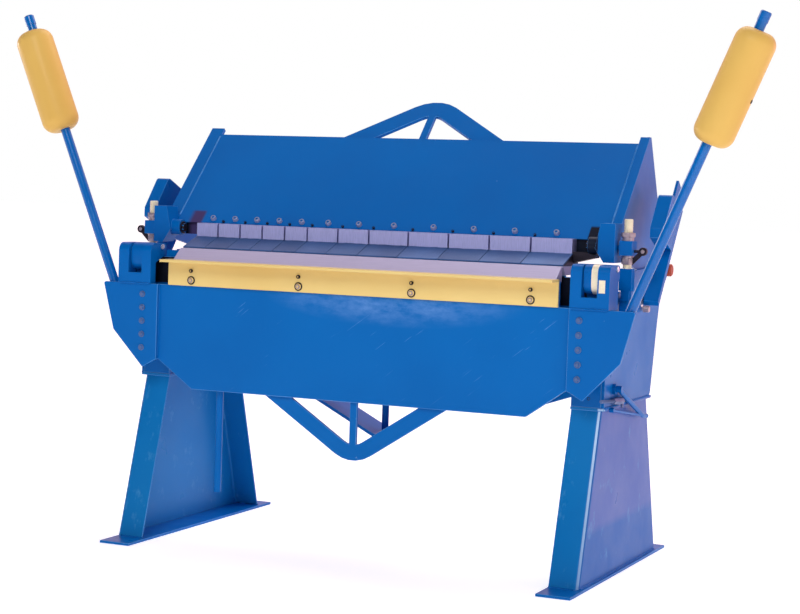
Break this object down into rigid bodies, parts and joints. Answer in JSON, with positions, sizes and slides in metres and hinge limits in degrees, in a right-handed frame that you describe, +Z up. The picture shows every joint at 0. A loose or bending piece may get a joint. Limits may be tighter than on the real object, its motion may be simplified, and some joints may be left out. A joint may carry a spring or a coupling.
{
  "type": "box and pan folder",
  "caption": "Floor-standing box and pan folder: a lifting clamp beam with removable fingers over a bed, and a counterweighted folding leaf in front.",
  "frame": {"origin": "floor, at the middle of the footprint", "axes": "+X along the fingers to the operator's right, +Y away from the operator, +Z up"},
  "size_m": [2.3722, 0.9064, 1.5889],
  "materials": {
    "blue_paint": "glossy machine enamel",
    "yellow_paint": "glossy enamel",
    "red_paint": "satin enamel",
    "ground_steel": "ground",
    "tool_steel": "ground and oiled",
    "plated_steel": "bright plated"
  },
  "bodies": {
    "frame": {"bed_web": "blue_paint", "bed_nose_bar": "ground_steel", "bed_truss": "blue_paint", "stand_left": "blue_paint", "stand_right": "blue_paint", "base_plate_left": "blue_paint", "base_plate_right": "blue_paint", "side_plate_left": "blue_paint", "side_plate_right": "blue_paint", "frame_hinge_block_left": "blue_paint", "frame_hinge_block_right": "blue_paint", "hinge_pin_left": "plated_steel", "hinge_pin_right": "plated_steel", "lever_shaft_left": "plated_steel", "lever_shaft_right": "plated_steel", "hook_rod": "blue_paint"},
    "leaf": {"leaf_plate": "blue_paint", "leaf_blade": "ground_steel", "angle_bar": "yellow_paint", "wing_left": "blue_paint", "wing_right": "blue_paint", "leaf_hinge_left": "blue_paint", "leaf_hinge_right": "blue_paint", "leaf_truss": "blue_paint", "arm_left": "blue_paint", "arm_right": "blue_paint", "stop_rod_ears": "blue_paint"},
    "beam": {"beam_plate": "blue_paint", "beam_end_left": "blue_paint", "beam_end_right": "blue_paint", "beam_truss": "blue_paint", "finger_01": "tool_steel", "finger_02": "tool_steel", "finger_03": "tool_steel", "finger_04": "tool_steel", "finger_05": "tool_steel", "finger_06": "tool_steel", "finger_07": "tool_steel", "finger_08": "tool_steel", "finger_09": "tool_steel", "finger_10": "tool_steel", "finger_11": "tool_steel", "finger_12": "tool_steel", "beam_casting_left": "blue_paint", "beam_casting_right": "blue_paint", "beam_pivot_pin_left": "plated_steel", "beam_pivot_pin_right": "plated_steel", "pivot_cap_left": "red_paint", "pivot_cap_right": "red_paint"},
    "lever_left": {"clamp_lever_left": "blue_paint", "lever_block_left": "blue_paint"},
    "lever_right": {"clamp_lever_right": "blue_paint", "lever_block_right": "blue_paint"},
    "link_left": {"link_rod_left": "plated_steel", "link_swivel_left": "blue_paint"},
    "link_right": {"link_rod_right": "plated_steel", "link_swivel_right": "blue_paint"},
    "weight_left": {"weight_left": "yellow_paint"},
    "weight_right": {"weight_right": "yellow_paint"},
    "stop_rod": {"stop_rod": "blue_paint"}
  },
  "joints": [
    {"name": "leaf_fold", "type": "hinge", "parent": "frame", "child": "leaf", "pos_m": [0, -0.24075, 0.885], "axis": [-1, 0, 0], "range_deg": [0, 135]},
    {"name": "beam_lift", "type": "hinge", "parent": "frame", "child": "beam", "pos_m": [0, 0.34425, 0.867], "axis": [-1, 0, 0], "range_deg": [0, 3.77]},
    {"name": "clamp_lever_left", "type": "hinge", "parent": "frame", "child": "lever_left", "pos_m": [-0.813, -0.09275, 0.79], "axis": [-1, 0, 0], "range_deg": [0, 40]},
    {"name": "link_swing_left", "type": "hinge", "parent": "beam", "child": "link_left", "pos_m": [-0.774, -0.13575, 0.9415], "axis": [-1, 0, 0], "range_deg": [-1.8, 0]},
    {"name": "weight_slide_left", "type": "slide", "parent": "leaf", "child": "weight_left", "axis": [-0.3843, 0, 0.9232], "range_m": [-0.25, 0.02]},
    {"name": "clamp_lever_right", "type": "hinge", "parent": "frame", "child": "lever_right", "pos_m": [0.803, -0.09275, 0.79], "axis": [-1, 0, 0], "range_deg": [0, 40]},
    {"name": "link_swing_right", "type": "hinge", "parent": "beam", "child": "link_right", "pos_m": [0.764, -0.13575, 0.9415], "axis": [-1, 0, 0], "range_deg": [-1.8, 0]},
    {"name": "weight_slide_right", "type": "slide", "parent": "leaf", "child": "weight_right", "axis": [0.3843, 0, 0.9232], "range_m": [-0.25, 0.02]},
    {"name": "stop_rod_swing", "type": "hinge", "parent": "leaf", "child": "stop_rod", "pos_m": [-0.456, -0.25375, 0.64], "axis": [-1, 0, 0], "range_deg": [-135, 0]}
  ],
  "couplings": [
    {"joint": "clamp_lever_left", "follows": "beam_lift", "ratio": 10.6},
    {"joint": "clamp_lever_right", "follows": "beam_lift", "ratio": 10.6},
    {"joint": "link_swing_left", "follows": "beam_lift", "ratio": -0.46},
    {"joint": "link_swing_right", "follows": "beam_lift", "ratio": -0.46},
    {"joint": "stop_rod_swing", "follows": "leaf_fold", "ratio": -1}
  ]
}
